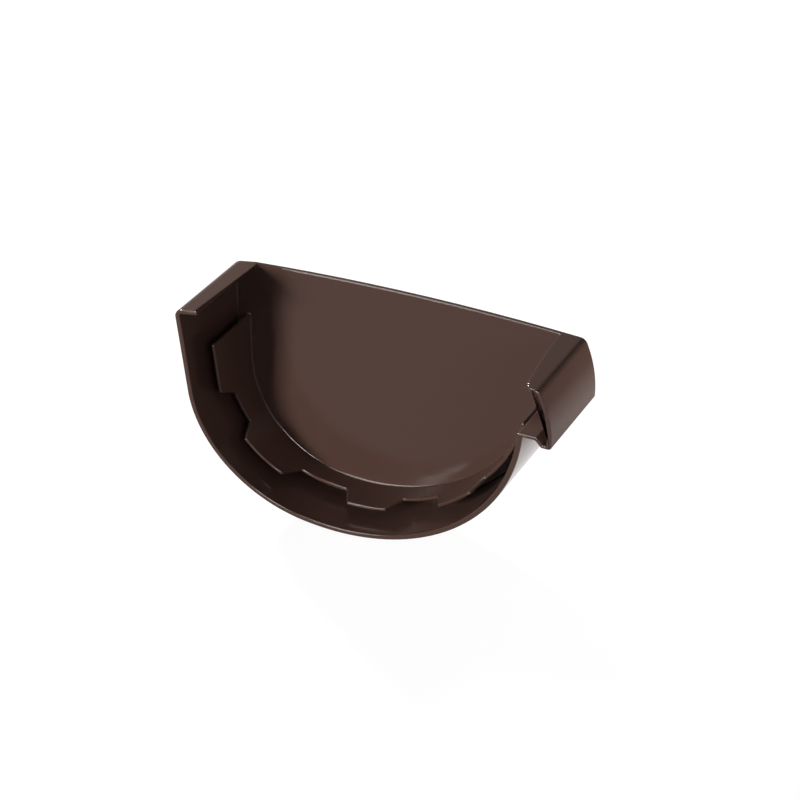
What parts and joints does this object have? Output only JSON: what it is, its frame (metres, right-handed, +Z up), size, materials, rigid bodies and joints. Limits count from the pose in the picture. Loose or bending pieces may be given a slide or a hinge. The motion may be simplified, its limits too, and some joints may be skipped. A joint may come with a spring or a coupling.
{
  "type": "gutter end cap",
  "caption": "Moulded plastic end cap for a deep rain gutter: flat plate, deep skirt with a castellated locating wall inside it, rear flange and front hook for the gutter's bead.",
  "frame": {"origin": "on the plate's inner face, midway between the rear wall's and the hook's outside faces, at the height of the shoulders beside the crown", "axes": "+Y out of the closed end, -Y towards the gutter, +X to the front of the gutter where the bead hook is, -X to the wall of the house, +Z up"},
  "size_m": [0.1455, 0.0435, 0.0914],
  "materials": {
    "body": "smooth moulded, glossy, dark brown"
  },
  "bodies": {
    "root": {"end_cap": "body"}
  },
  "joints": []
}
